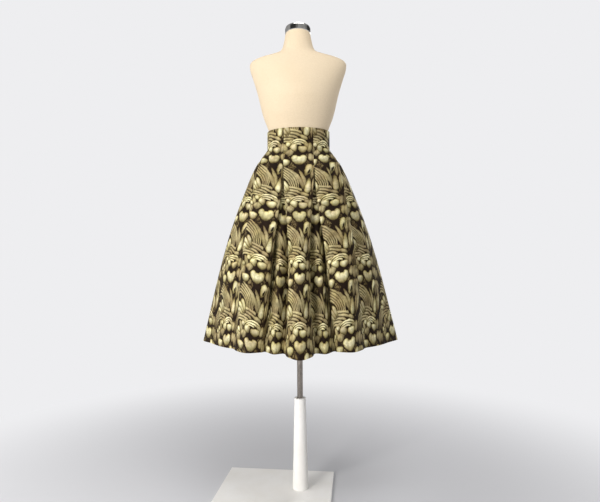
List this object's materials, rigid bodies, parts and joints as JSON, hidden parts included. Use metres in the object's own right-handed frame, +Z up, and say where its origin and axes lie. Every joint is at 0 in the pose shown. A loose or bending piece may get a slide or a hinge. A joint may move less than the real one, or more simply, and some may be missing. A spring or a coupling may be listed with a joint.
{
  "type": "pleated brocade skirt on a dress form stand",
  "caption": "High-waisted midi skirt with deep inverted box pleats that flare from a stitched waist, worn by a limbless dress form on a rod-and-plate stand that turns and slides.",
  "frame": {"origin": "on the pole's axis at the base plate's underside", "axes": "+Z up along the pole, the skirt's front faces -Y, +X to the right seen from the front"},
  "size_m": [0.7415, 0.6573, 1.761],
  "materials": {
    "brocade": "woven, gold on dark brown",
    "linen": "plain weave cover",
    "steel": "polished",
    "white_paint": "satin powder coat",
    "zip_metal": "dark satin"
  },
  "bodies": {
    "stand": {"base_plate": "white_paint", "stand_tube": "white_paint"},
    "mast": {"stand_rod": "steel"},
    "figure": {"dress_form": "linen", "neck_cap": "steel", "skirt_front": "brocade", "skirt_back_left": "brocade", "skirt_back_right": "brocade", "zip_slider": "zip_metal"},
    "zip_tab": {"zip_tab": "zip_metal"}
  },
  "joints": [
    {"name": "height_slide", "type": "slide", "parent": "stand", "child": "mast", "axis": [0, 0, 1], "range_m": [-0.18, 0.06]},
    {"name": "form_turn", "type": "hinge", "parent": "mast", "child": "figure", "pos_m": [0, 0, 1], "axis": [0, 0, 1], "continuous": true},
    {"name": "zip_pull", "type": "hinge", "parent": "figure", "child": "zip_tab", "pos_m": [0, 0.0972, 1.345], "axis": [1, 0, 0], "range_deg": [0, 150]}
  ]
}
